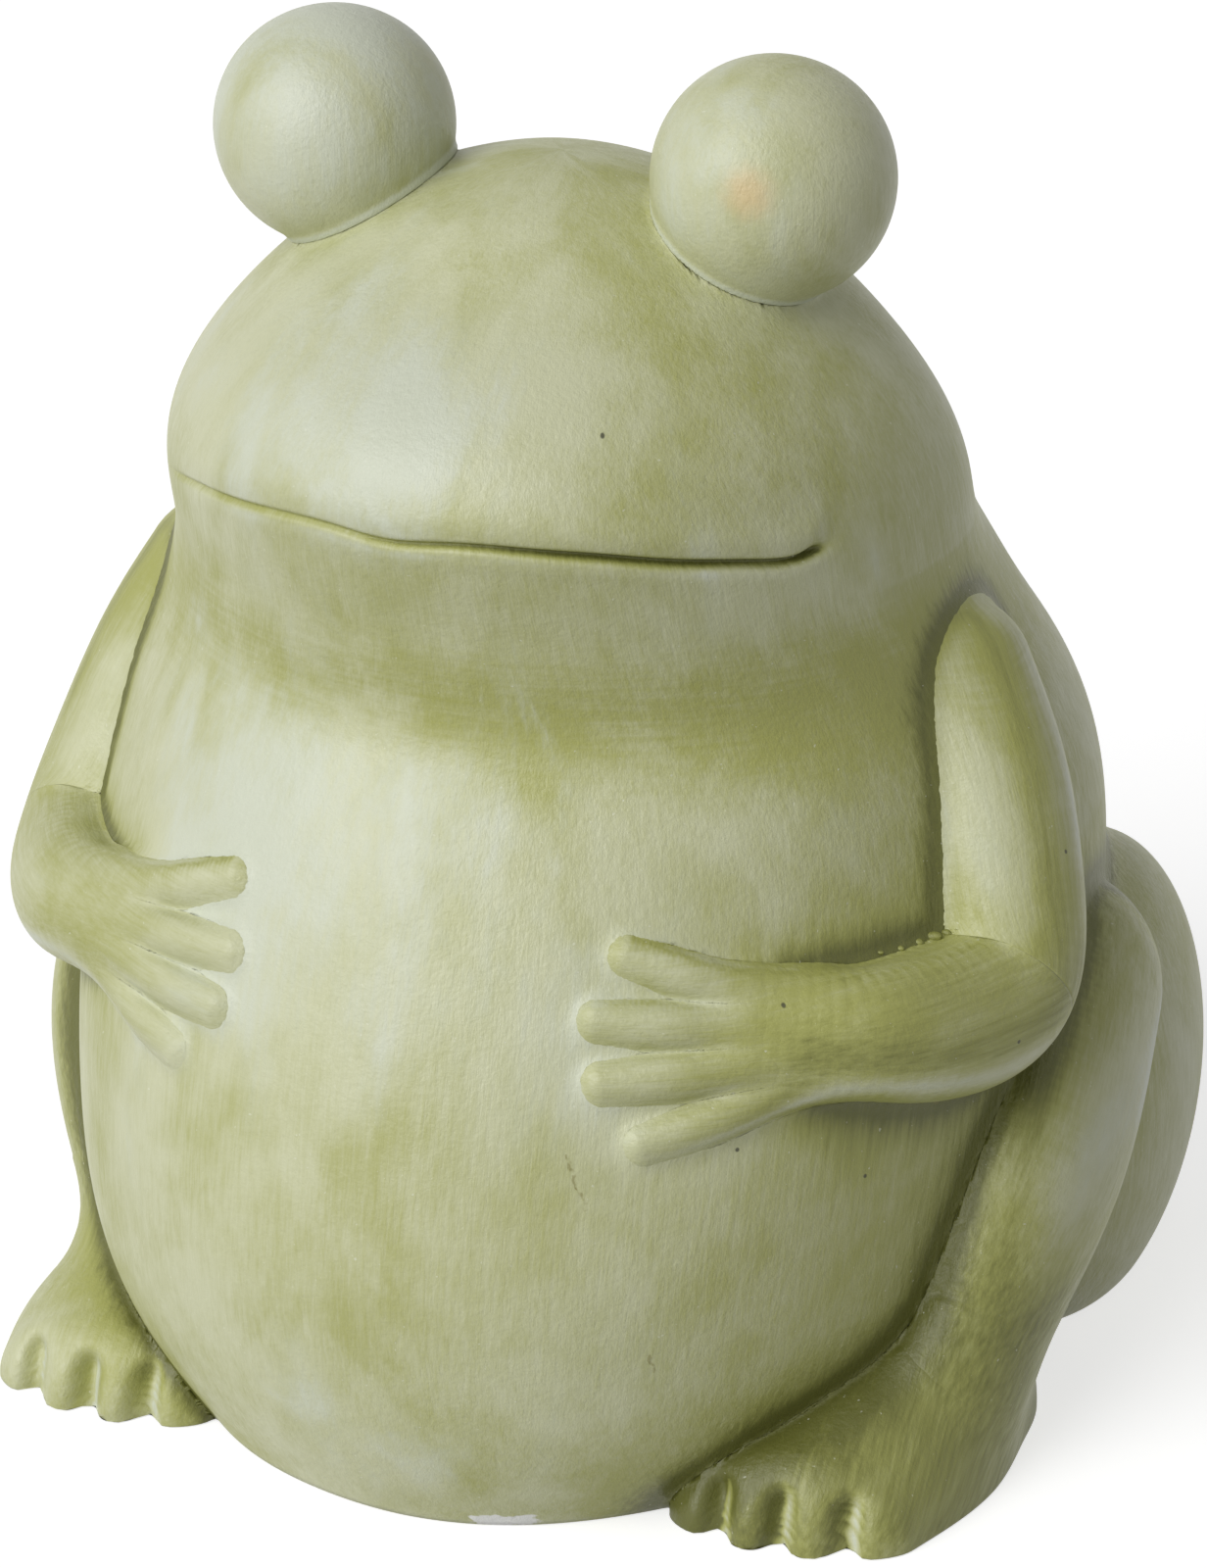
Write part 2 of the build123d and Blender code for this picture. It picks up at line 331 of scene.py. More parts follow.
class Foot:
    """Half ellipses on the floor, square to the foot's length: place, inner edge, outer edge, height."""

    heel_round = 6.0
    toe_round = 12.5

    def __init__(self, sections):
        place, inner, outer, height = np.array(sections, float).T
        self.heel, self.tip = place.max(), place.min()
        self.ball = self.tip + self.toe_round
        self.at = smooth_curve(-place, np.stack([(inner + outer) / 2, abs(outer - inner) / 2, height], 1))
        edges = np.concatenate([inner, outer])
        self.low = np.array([edges.min(), self.tip, 0])
        self.high = np.array([edges.max(), self.heel + self.heel_round, height.max()])

    def gap(self, points):
        def inside(near):
            x, y, z = near.T
            kept = np.clip(y, self.ball, self.heel)
            middle, half_width, height = self.at(-np.clip(y, self.tip, self.heel)).T
            length = np.where(y < kept, self.toe_round, self.heel_round)
            over = (y - kept) / length
            ratio = np.sqrt(((x - middle) / half_width) ** 2 + (z / height) ** 2 + over**2)
            ratio = np.maximum(ratio, 1e-6)
            gradient = np.stack([(x - middle) / half_width**2, over / length, z / height**2], 1)
            gradient = gradient / ratio[:, None]
            return by_gradient(ratio - 1, gradient)

        return masked_gap(points, self.low, self.high, inside)

    def surface(self, rows, columns):
        """Rings from heel to toes. Both ends shrink as an ellipse does. The lower half is cut flat later."""
        place = np.linspace(self.heel, self.ball, rows)
        angle = np.linspace(0, np.pi / 2, 16, endpoint=False)
        share = np.concatenate([np.sin(angle), np.ones(rows), np.sin(angle)[::-1]])
        heel_push = self.heel_round * np.cos(angle)
        toe_push = -self.toe_round * np.cos(angle)[::-1]
        place = np.concatenate([self.heel + heel_push, place, self.ball + toe_push])
        middle, half_width, height = self.at(-np.clip(place, self.tip, self.heel)).T
        turn = np.linspace(0, 2 * np.pi, columns, endpoint=False)[None]
        x = middle[:, None] + (half_width * share)[:, None] * np.cos(turn)
        z = (height * share)[:, None] * np.sin(turn)
        return np.stack(np.broadcast_arrays(x, place[:, None], z), -1)


print("kinds of piece: lump, limb and foot")

# %% [markdown]
# ## Where the pieces sit
# Arms and fingers are stations on the skin: bearing from the front, height, lift and radius. Legs are
# stations in space. The right side mirrors the left only roughly, as on any hand-made model: the left leg
# and foot stand further out, the right arm is tucked closer to the body, and each hand has its own
# fingertips.

# %% Stations of arms, fingers and legs
SIDES = {"left": 1, "right": -1}
eye_radius = 25.4
eye_place = np.array([48.5, -18.5, 274])
arm_grips = [
    [84, 168, -8, 18],
    [81, 150, -5.5, 19],
    [77.5, 129, -1.5, 18.5],
    [72, 109, 2, 17.5],
    [60, 107, 4, 16],
    [50, 110.5, 3.5, 13.5],
    [42, 113.5, -4, 11.5],
]
arm_tuck = {"left": [0] * 7, "right": [4, 4, 4, 3, 1, 0, 0]}
arm_flatness = np.array([1, 1, 1, 1, 0.9, 0.86, 0.9])
elbow_index = 3
knuckles = [[46, 117.5, 0.5, 4], [46, 114, 1.5, 4.4], [46.5, 109, 1.5, 4.4], [48, 105, 0.5, 4]]
fingertips = {
    "left": [[26, 131, -0.4, 3.8], [22.5, 119, -0.4, 4], [23, 107, -0.4, 4.2], [27, 94.5, -0.4, 3.8]],
    "right": [[24.5, 134, -0.4, 3.8], [22, 120.5, -0.4, 4], [22.5, 109, -0.4, 4.2], [27, 97, -0.4, 3.8]],
}
finger_arch = 1.0
finger_swell = 0.7
finger_flatness = 0.8
haunch_middle = np.array([95, 52, 43])
haunch_sizes = [29, 58, 58]
knees = {"left": [104, 22, 82, 21, 28], "right": [102, 22, 82, 21, 28]}
calves = {"left": [107, -10, 58, 20, 30], "right": [103, -10, 58, 20, 30]}
ankles = {"left": [102, -43, 24, 15, 18], "right": [86, -45, 24, 14, 18]}
foot_sections = {
    "left": [
        [-8, 98, 108, 8],
        [-16, 92, 112, 20],
        [-34, 84, 114.5, 32],
        [-54, 72, 115, 32],
        [-74, 60, 110.5, 25],
        [-85, 54, 106.5, 19.5],
        [-97.5, 48, 102, 15],
    ],
    "right": [
        [-8, 87, 94, 8],
        [-16, 81, 97, 20],
        [-34, 75, 98, 32],
        [-54, 67, 102, 30],
        [-74, 57, 107, 23],
        [-85, 53, 105.5, 18.5],
        [-97.5, 49.5, 103.5, 14.5],
    ],
}
toe_notches = {"left": [66, 79.5, 93.4], "right": [66.5, 80, 94]}
notch_depth = 5.5
notch_half_width = 3.0


def limb_on_skin(grips, side, flatness=1.0):
    """Limb whose stations are lifted off the skin, flattened outwards by a factor."""
    centres = np.array([skin.on(side * bearing, height, lift) for bearing, height, lift, _ in grips])
    radii = np.array([grip[3] for grip in grips])
    middle = np.radians(side * np.mean([grip[0] for grip in grips]))
    return Limb(centres, radii * flatness, radii, [np.sin(middle), -np.cos(middle), 0])


def finger_limb(knuckle, tip, side):
    """Finger from knuckle to tip, a little arched and swollen past its middle."""
    swell = 0.4 * np.array(knuckle) + 0.6 * np.array(tip) + [0, 0, finger_arch, finger_swell]
    return limb_on_skin([knuckle, list(swell), tip], side, finger_flatness)


def leg_limb(stations, side):
    """Shin through its stations in space, flat in the outward direction."""
    stations = np.array(stations, float)
    stations[:, 0] *= side
    return Limb(stations[:, :3], stations[:, 3], stations[:, 4], [side, 0, 0])


eyes, arms, fingers, haunches, shins, feet = {}, {}, {}, {}, {}, {}
for name, side in SIDES.items():
    flip = np.array([side, 1, 1])
    eyes[name] = Lump(eye_place * flip, eye_radius)
    tucked = np.array(arm_grips) - np.outer(arm_tuck[name], [0, 0, 1, 0])
    arms[name] = limb_on_skin(tucked, side, arm_flatness)
    fingers[name] = [finger_limb(knuckle, tip, side) for knuckle, tip in zip(knuckles, fingertips[name])]
    haunches[name] = Lump(haunch_middle * flip, haunch_sizes)
    shins[name] = leg_limb([knees[name], calves[name], ankles[name]], side)
    feet[name] = Foot([[y, side * inner, side * outer, z] for y, inner, outer, z in foot_sections[name]])
print("fingers per hand:", len(fingers["left"]), "toes per foot:", 1 + len(toe_notches["left"]))

# %% [markdown]
# ## Soft joints between castings
# On the real frog the maker wiped filler into each joint, so limbs run into the body in small hollows.
# Blender could fuse and smooth the pieces, but they have to stay separate. Instead each piece's own points
# slide onto one shared surface: the soft union of all distances, where two distances that are nearly equal
# are lowered together. Points that lie deep inside a neighbour stay there, out of sight. The fingers of a
# hand are united first, and so are shin and foot, so that their shells settle on the same surface. Softness
# is in millimetres, and a small one leaves a sharp crease.

# %% Soft union and the slide onto it
finger_softness = 2
wrist_softness = 10
ankle_softness = 12
eye_softness = 2
arm_softness = 3.5
haunch_softness = 7
leg_softness = 1.6
touch_softness = 2
fold_softness = 1


def soft_union(first, second, softness):
    """Quadratic soft minimum: mix of both distances, less softness * share * (1 - share)."""
    (d1, n1), (d2, n2) = first, second
    share = np.clip(0.5 + 0.5 * (d2 - d1) / softness, 0, 1)
    distance = d2 * (1 - share) + d1 * share - softness * share * (1 - share)
    return distance, n2 * (1 - share)[:, None] + n1 * share[:, None]


class Cluster:
    """Pieces softly united into one, so that each of their shells settles on the same surface."""

    def __init__(self, members, softness):
        self.members, self.softness = members, softness

    def gap(self, points):
        return union_of(points, self.members[0], [(other, self.softness) for other in self.members[1:]])


def union_of(points, own, others):
    """Own distance united with each neighbour's, by that neighbour's softness."""
    result = own.gap(points)
    for other, softness in others:
        result = soft_union(result, other.gap(points), softness)
    return result


def settle(points, own, others, sink=0.35):
    """Newton steps onto the shared surface, then a slight sinking where a neighbour covers this piece."""
    points = points.copy()
    reach = np.min([other.gap(points)[0] - softness for other, softness in others], axis=0)
    active = np.flatnonzero(reach < 0.5)
    moved = points[active]
    fillet = max(softness for _, softness in others) / 4 + 0.3
    weight = np.clip(union_of(moved, own, others)[0] / fillet + 2, 0, 1)
    for _ in range(4):
        distance, outward = union_of(moved, own, others)
        size = np.maximum((outward**2).sum(1), 0.15)
        step = np.clip(distance / size * weight, -2.5, 2.5)
        moved -= outward * step[:, None]
    nearest = np.min([other.gap(moved)[0] for other, _ in others], axis=0)
    covered = np.clip((own.gap(moved)[0] - nearest) / 1.5, 0, 1)
    outward = unit(union_of(moved, own, others)[1])
    points[active] = moved - outward * (sink * covered)[:, None]
    return points


def keep_in_wall(points, depth=5.0):
    """Points deeper in the body than the wall hides come back to that depth."""
    points = points.copy()
    for _ in range(4):
        distance, outward = skin.gap(points)
        points += outward * np.maximum(-depth - distance, 0)[:, None]
    return points


def ground(flat):
    """Points below the floor are brought up to it, which cuts the piece flat."""
    flat = flat.copy()
    flat[:, 2] = np.maximum(flat[:, 2], 0)
    return flat


def hand_wobble(points, size):
    """Sum of three slanted sine waves, the unevenness that a hand-finished model has."""
    x, y, z = points.T
    wave = np.sin(x / 9 + z / 13) + np.sin(y / 11 - z / 8 + 1) + np.sin(x / 14 - y / 10 + z / 17 + 2)
    return size * wave / 3


palms = {name: Cluster(fingers[name], finger_softness) for name in SIDES}
hands = {name: Cluster([arms[name], palms[name]], wrist_softness) for name in SIDES}
legs = {name: Cluster([shins[name], feet[name]], ankle_softness) for name in SIDES}
print("soft union of 1 and 1 with softness 4:", soft_union(
    (np.ones(1), np.ones((1, 3))), (np.ones(1), np.ones((1, 3))), 4)[0])

# %% [markdown]
# ## From grid to mesh
# A grid becomes a closed mesh: columns wrap round, and the first and last rows shrink to one point each. The
# sign of the volume tells whether faces point outwards. Two values travel with each point for the paint: the
# brush path, and how much wash and painted shade the point gets. Below zero that second value makes the point
# paler: wiped bare, and where it faces the lamp a painted highlight as well.

# %% Closed mesh from grids
MM = 0.001


def grid_faces(rows, columns):
    """Corner numbers of a closed grid: triangles round the two poles and quads between."""
    ring = np.arange(columns)
    ahead = np.roll(ring, -1)
    first = 1 + np.arange(rows - 3)[:, None] * columns
    following = first + columns
    corners = np.broadcast_arrays(first + ring, first + ahead, following + ahead, following + ring)
    quads = np.stack(corners, -1)
    last = 1 + (rows - 3) * columns
    pole = last + columns
    start = np.stack([np.zeros(columns, int), 1 + ahead, 1 + ring], 1)
    end = np.stack([np.full(columns, pole), last + ring, last + ahead], 1)
    return quads.reshape(-1, 4), np.vstack([start, end])


def pole_rows(grid):
    """Grid as a list of points, with the first and last rows as one point each."""
    flat = grid[1:-1].reshape(-1, grid.shape[-1])
    return np.vstack([grid[0].mean(0, keepdims=True), flat, grid[-1].mean(0, keepdims=True)])


def signed_volume(points, quads, triangles):
    """Sum of the tetrahedra from the origin to each face."""
    corners = np.vstack([quads[:, [0, 1, 2]], quads[:, [0, 2, 3]], triangles])
    a, b, c = (points[corners[:, k]] for k in range(3))
    return float(np.einsum("ij,ij->", a, np.cross(b, c))) / 6


def add_piece(name, node, shells, material):
    """One object from closed shells of (points, rows, columns, brush, crease), in place of a CAD node."""
    points, brush, crease, corners, starts = [], [], [], [], []
    count = 0
    loops = 0
    for shell_points, rows, columns, shell_brush, shell_crease in shells:
        quads, triangles = grid_faces(rows, columns)
        if signed_volume(shell_points, quads, triangles) < 0:
            quads, triangles = quads[:, ::-1], triangles[:, ::-1]
        corners += [quads.ravel() + count, triangles.ravel() + count]
        starts += [loops + 4 * np.arange(len(quads)), loops + quads.size + 3 * np.arange(len(triangles))]
        loops += quads.size + triangles.size
        count += len(shell_points)
        points.append(shell_points)
        brush.append(shell_brush)
        crease.append(shell_crease)
    corners, starts = np.concatenate(corners), np.concatenate(starts)
    mesh = bpy.data.meshes.new(name)
    mesh.vertices.add(count)
    mesh.vertices.foreach_set("co", (np.vstack(points) * MM).astype(np.float32).ravel())
    mesh.loops.add(loops)
    mesh.loops.foreach_set("vertex_index", corners.astype(np.int32))
    mesh.polygons.add(len(starts))
    mesh.polygons.foreach_set("loop_start", starts.astype(np.int32))
    mesh.update(calc_edges=True)
    mesh.validate()
    mesh.shade_smooth()
    brush_layer = mesh.attributes.new("brush", "FLOAT_VECTOR", "POINT")
    brush_layer.data.foreach_set("vector", np.vstack(brush).astype(np.float32).ravel())
    crease_layer = mesh.attributes.new("crease", "FLOAT", "POINT")
    crease_layer.data.foreach_set("value", np.concatenate(crease).astype(np.float32))
    piece = bpy.data.objects.new(name, mesh)
    bpy.context.scene.collection.objects.link(piece)
    mesh.materials.append(material)
    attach(piece, "root")
    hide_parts(node)
    print(name, len(mesh.vertices), "points", len(mesh.polygons), "faces")


def limb_brush(grid):
    """Brush path of a limb: place round the limb and distance along it, so strokes run lengthwise."""
    turn = np.linspace(0, 2 * np.pi, grid.shape[1], endpoint=False)
    middle = grid.mean(1)
    reach = np.linalg.norm(grid - middle[:, None], axis=2).mean()
    along = along_path(middle)[:, None]
    brush = np.broadcast_arrays(reach * np.cos(turn)[None], reach * np.sin(turn)[None], along)
    return pole_rows(np.stack(brush, -1)) + middle.mean(0)


print("faces of a closed grid of 5 by 8:", sum(len(part) for part in grid_faces(5, 8)))

# %% [markdown]
# ## Shader maths in Python
# A node tree reads badly when it is built link by link. One small class wraps a socket, so that `1 - mask`
# adds a Math node by itself, and one method adds any other node from its type, settings and sockets.

# %% Socket class


class Value:
    """A number that changes over a surface: wraps an output socket and adds Math nodes for operators."""

    def __init__(self, paint, socket):
        self.paint = paint
        self.socket = socket

    def _math(self, operation, *values, clamp=False):
        settings = {"operation": operation, "use_clamp": clamp}
        return self.paint.node("ShaderNodeMath", settings, dict(enumerate(values)))

    def __add__(self, other):
        return self._math("ADD", self, other)

    def __radd__(self, other):
        return self._math("ADD", other, self)

    def __sub__(self, other):
        return self._math("SUBTRACT", self, other)

    def __rsub__(self, other):
        return self._math("SUBTRACT", other, self)

    def __mul__(self, other):
        return self._math("MULTIPLY", self, other)

    def ramp(self, low, high):
        """0 below low, 1 above high, and a smooth step between."""
        settings = {"interpolation_type": "SMOOTHSTEP"}
        sockets = {"Value": self, "From Min": low, "From Max": high, "To Min": 0.0, "To Max": 1.0}
        return self.paint.node("ShaderNodeMapRange", settings, sockets)

    def clipped(self):
        return self._math("ADD", self, 0.0, clamp=True)


class Paint:
    """The node tree of a material or a world, with the Principled shader where it has one."""

    def __init__(self, owner):
        owner.use_nodes = True
        self.owner = owner
        self.tree = owner.node_tree
        self.shader = self.tree.nodes.get("Principled BSDF")

    def node(self, kind, settings, sockets, output=0):
        """Adds a node: settings first, then each socket gets a link or a plain value."""
        added = self.tree.nodes.new(kind)
        for key, value in settings.items():
            setattr(added, key, value)
        for key, value in sockets.items():
            self.feed(added.inputs[key], value)
        return Value(self, added.outputs[output])

    def feed(self, socket, value):
        if isinstance(value, Value):
            self.tree.links.new(value.socket, socket)
        else:
            socket.default_value = value

    def attribute(self, name, output):
        return self.node("ShaderNodeAttribute", {"attribute_name": name}, {}, output)

    def scaled(self, vector, factors):
        return self.vector("MULTIPLY", vector, factors)

    def noise(self, vector, scale, detail=3.0, roughness=0.55, distortion=0.0):
        sockets = {"Vector": vector, "Scale": scale, "Detail": detail}
        sockets |= {"Roughness": roughness, "Distortion": distortion}
        return self.node("ShaderNodeTexNoise", {"noise_dimensions": "3D"}, sockets)

    def vector(self, operation, first, second, output=0):
        return self.node("ShaderNodeVectorMath", {"operation": operation}, {0: first, 1: second}, output)

    def near_line(self, place, start, end):
        """Distance to a straight line: the offset from its start, less the part that runs along it."""
        along = np.subtract(end, start)
        offset = self.vector("SUBTRACT", place, tuple(start))
        share = self.vector("DOT_PRODUCT", offset, tuple(along / (along @ along)), 1).clipped()
        part = self.node("ShaderNodeVectorMath", {"operation": "SCALE"}, {0: tuple(along), "Scale": share})
        return self.vector("DISTANCE", offset, part, 1)

    def mix(self, factor, first, second):
        """Colour mix. The colour sockets of a Mix node are its seventh and eighth inputs."""
        settings = {"data_type": "RGBA", "blend_type": "MIX", "clamp_factor": True}
        return self.node("ShaderNodeMix", settings, {0: factor, 6: first, 7: second}, output=2)


def linear(red, green, blue):
    """Linear colour of a screen colour given in 0 to 255."""
    screen = np.array([red, green, blue]) / 255
    return (*(np.where(screen <= 0.04045, screen / 12.92, ((screen + 0.055) / 1.055) ** 2.4)).tolist(), 1.0)


print("linear value of a middle grey:", round(linear(128, 128, 128)[0], 3))

# %% [markdown]
# ## The wash, with painted shade and highlight
# The cast is pale grey grit. A thin yellow-green wash was brushed over it and wiped, so that it stays in the
# creases and in the streaks of the brush, and bare bluish patches show where the cloth went over high places.
# The same colours also stand for light: darker wash is partly painted shade in creases and under the jaw,
# and wholly painted shade low on the side away from the lamp, and bare paint is partly a painted highlight
# where the surface faces the lamp.
# Each noise is stretched along the brush path, which gives strokes rather than spots. An image could be
# painted instead, but a node tree stays sharp at any distance. Single marks, which are a stain, a chip, cracks
# and pinholes, are distances to a point or a short line, placed in millimetres. A pinhole is a dark dot of
# painted shade, the inside of a hole too small to model, with wash in it.

# %% Washed cast material, with painted shade and highlight
COLOURS = {
    "cast": linear(202, 204, 169),
    "wash": linear(163, 165, 92),
    "deep": linear(96, 98, 40),
    "bare_and_highlight": linear(208, 213, 196),
    "speck": linear(226, 228, 210),
    "stain": linear(214, 186, 134),
    "chip": linear(238, 238, 236),
    "crack": linear(124, 116, 62),
    "pinhole_shade": linear(40, 40, 26),
}
# Noise moves each place by up to 3 mm, so marks drawn through it are set off by half of that.
sway_offset = np.full(3, 1.5)
stain_place = np.array([53.3, -42.5, 280.9])
chip_line = np.array([[18.5, -110.2, 1], [28.9, -106.4, 1]]) + sway_offset
crack_lines = sway_offset + np.array([
    [[38.7, -110.2, 93.3], [40.9, -111.3, 86.3]],
    [[40.9, -111.3, 86.3], [43.3, -111.2, 82.2]],
    [[55.6, -107.5, 48.5], [56.4, -106.5, 44.5]],
    [[75.1, -82.3, 101.4], [86.1, -70.3, 97.7]],
    [[86.1, -70.3, 97.7], [98.8, -51, 87.8]],
])
pinholes = np.array([
    [89.3, -70.3, 78.2],
    [68.7, -91.7, 91.1],
    [33.6, -77, 237.3],
    [77.1, -86, 122],
    [117.1, -52.9, 105.8],
    [117, -25.2, 137.3],
])
# A pinhole is a short line through the skin, between these shares of its place.
hole_reach = np.array([[0.94, 0.94, 1], [1.06, 1.06, 1]])


def washed_cast():
    """Layers of paint: wash over cast, darker wash in creases that is partly painted shade, pale wiped patches
    that are partly a painted highlight, pinholes as dots of painted shade, all by brush path.
    """
    paint = Paint(bpy.data.materials.new("washed_cast"))
    brush = paint.attribute("brush", 1)
    marked = paint.attribute("crease", 2)
    crease = marked.clipped()
    rubbed_and_highlit = (0 - marked).clipped()
    grain = paint.node("ShaderNodeTexCoord", {}, {}, output=3)
    streak = paint.noise(paint.scaled(brush, (1.0, 1.0, 0.07)), 0.8, 3.0, 0.6)
    fine = paint.noise(paint.scaled(brush, (1.0, 1.0, 0.1)), 2.2, 2.0, 0.6)
    patch = paint.noise(paint.scaled(brush, (1.0, 1.0, 0.6)), 0.03, 3.0, 0.55, 0.6)
    wiped = paint.noise(paint.scaled(brush, (1.0, 1.0, 0.45)), 0.04, 3.0, 0.6, 0.4)
    across = paint.noise(paint.scaled(grain, (50.0, 50.0, 700.0)), 1.0, 3.0, 0.6)
    height = paint.node("ShaderNodeSeparateXYZ", {}, {0: grain}, output=2)
    # The throat band is wash together with painted shade under the jaw.
    throat = height.ramp(0.15, 0.176) * (1 - height.ramp(0.178, 0.2))
    mottle = paint.noise(grain, 70.0, 4.0, 0.65)
    wash = patch * 0.9 + mottle * 0.35 + streak * 0.28 + fine * 0.2 + crease * 0.55 + throat * across * 0.35
    wash = wash.ramp(0.67, 1.28)
    # Deep wash in the creases, partly painted shade.
    deep = (patch * 0.35 + streak * 0.4 + crease * 0.8).ramp(0.72, 1.2)
    # Bare paint: wiped patches, and where the surface faces the lamp a painted highlight as well.
    bare_and_highlight = (wiped * 0.9 + streak * 0.3 - crease * 0.5 + rubbed_and_highlit * 0.6).ramp(0.6, 0.95)
    colour = paint.mix(wash, COLOURS["cast"], COLOURS["wash"])
    colour = paint.mix(deep, colour, COLOURS["deep"])
    colour = paint.mix(bare_and_highlight * 0.85, colour, COLOURS["bare_and_highlight"])
    speck = paint.noise(grain, 900.0, 2.0, 0.5).ramp(0.72, 0.78)
    colour = paint.mix(speck * 0.5, colour, COLOURS["speck"])
    sway = paint.node("ShaderNodeTexNoise", {}, {"Vector": grain, "Scale": 400.0, "Detail": 2.0}, output=1)
    shaken = paint.vector("ADD", grain, paint.scaled(sway, (0.003, 0.003, 0.003)))
    stain = 1 - paint.vector("DISTANCE", shaken, tuple(stain_place * MM), 1).ramp(0.001, 0.008)
    colour = paint.mix(stain * 0.7, colour, COLOURS["stain"])
    chip = 1 - paint.near_line(shaken, *(chip_line * MM)).ramp(0.0022, 0.0028)
    colour = paint.mix(chip, colour, COLOURS["chip"])
    for line in crack_lines:
        crack = 1 - paint.near_line(shaken, *(line * MM)).ramp(0.0001, 0.0006)
        colour = paint.mix(crack * 0.6, colour, COLOURS["crack"])
    # Each pinhole is a dark dot: painted shade inside a hole too small to model, with wash in it.
    for hole in pinholes:
        pit = 1 - paint.near_line(grain, *(hole * MM * hole_reach)).ramp(0.0003, 0.0006)
        colour = paint.mix(pit * 0.85, colour, COLOURS["pinhole_shade"])
    paint.feed(paint.shader.inputs["Base Color"], colour)
    paint.feed(paint.shader.inputs["Roughness"], 0.34 + streak * 0.2)
    grit = paint.noise(grain, 700.0, 3.0, 0.6)
    relief = streak * 0.35 + fine * 0.3 + grit * 0.75
    bump = paint.node("ShaderNodeBump", {}, {"Strength": 0.4, "Distance": 0.0007, "Height": relief})
    paint.feed(paint.shader.inputs["Normal"], bump)
    paint.shader.inputs["Specular IOR Level"].default_value = 0.5
    return paint.owner


wash = washed_cast()
print("material", wash.name, "with", len(wash.node_tree.nodes), "nodes")

# %% [markdown]
# ## Body casting
# The body is one closed surface: from the hollow's crown down the inside to the rim, then up the outside to
# the top of the head. Rows crowd together at the mouth, where a narrow groove needs them. The groove and the
# lips beside it are moved along the skin's own normal.

# %% Body surface
mouth_points = np.array([
    [-72, 207.3],
    [-64.3, 209.7],
    [-43, 214.2],
    [-30, 216.2],
    [-17, 216.6],
    [-6, 215.7],
    [8, 216.8],
    [26, 216.4],
    [38.7, 214.9],
    [50.8, 212.4],
    [62.2, 209.9],
    [68.6, 208.7],
    [72.5, 209.6],
])
mouth_curve = smooth_curve(mouth_points[:, 0], mouth_points[:, 1:])
mouth_depth = 2.3
body_columns = 330


def mouth_height(x):
    """Height of the mouth line, held level beyond its corners."""
    return mouth_curve(np.clip(x, mouth_points[0, 0], mouth_points[-1, 0]))[..., 0]


def mouth_strength(points):
    """How much of the mouth shows: faint at the right corner, full towards the left one, none behind."""
    x, y, _ = points.T
    right_end = np.clip((x - mouth_points[0, 0]) / 14, 0, 1)
    left_end = np.clip((mouth_points[-1, 0] + 0.5 - x) / 2.5, 0, 1)
    return right_end * left_end * (0.5 + 0.5 * np.clip((x + 25) / 60, 0, 1)) * (y < 0)


def body_places(rows):
    """Places along the skin, crowded where the height is near the mouth's."""
    table = np.linspace(0, skin.pole, 2000)
    height = skin.levels(table)[:, 0]
    crowd = 1 + 5.5 * bell(height, 212, 12)
    filled = np.cumsum(crowd)
    return np.interp(np.linspace(filled[0], filled[-1], rows), filled, table)


def mouth_relief(points):
    """Groove along the mouth line, a fuller lip above it, a softer one below and a pit in the left corner."""
    strength = mouth_strength(points)
    away = points[:, 2] - mouth_height(points[:, 0])
    groove = -mouth_depth * bell(away, 0, 0.6 + 0.35 * strength)
    lips = 0.8 * bell(away, 4.5, 3.8) + 0.3 * bell(away, -3.4, 2.4)
    pit = -1.4 * bell(np.hypot(points[:, 0] - 71.5, away - 0.6), 0, 1.8) * (points[:, 1] < 0)
    return strength * (groove + lips) + pit


def body_wash_and_painted_light(points, outward, nearest):
    """Wash by limbs, mouth and throat, partly painted shade, and painted shade low on the left, away from the
    lamp. Snout, chest and lower lip are wiped, and painted lighter as a highlight where they face the lamp.
    """
    x, _, z = points.T
    bearing = np.degrees(np.arctan2(outward[:, 0], -outward[:, 1]))
    # Snout and chest facing the lamp: wiped, and painted lighter as a highlight.
    rubbed_and_highlit = bell(bearing, -14, 42) * (0.6 * bell(z, 138, 34) + 0.65 * bell(z, 234, 22))
    # Wash by the limbs, partly painted shade in the creases.
    wash = 0.9 * fading(nearest, 8) + 0.6 * fading(nearest, 3)
    # Painted shade low on the left, the side away from the lamp; the throat term below is wash and painted
    # shade under the jaw.
    painted_shade_low_left = np.clip((bearing - 22) / 30, 0, 1) * np.clip((150 - z) / 40, 0, 1)
    wash += 0.12 - rubbed_and_highlit + 0.22 * painted_shade_low_left + 0.22 * bell(z, 171, 12) * bell(bearing, 24, 42)
    # The lower lip's term here is a painted highlight on the lamp's side.
    wash += 0.12 * bell(z, 82, 26) * bell(bearing, 8, 26) - 0.2 * bell(z, 193, 9) * bell(bearing, -32, 24)
    wash -= 0.25 * bell(z, 26, 18) * bell(bearing, -5, 24)
    fingered = np.min([palm.gap(points)[0] for palm in palms.values()], axis=0)
    wash += 0.2 * bell(z, 238, 20) * bell(bearing, 38, 26) - 0.4 * fading(fingered, 4)
    # Mouth groove: wash and painted shade; the pale line below it is a painted highlight on the lower lip.
    away = z - mouth_height(x)
    return wash + mouth_strength(points) * (1.1 * bell(away, 0, 1) - 0.15 * bell(away, -2.4, 1))


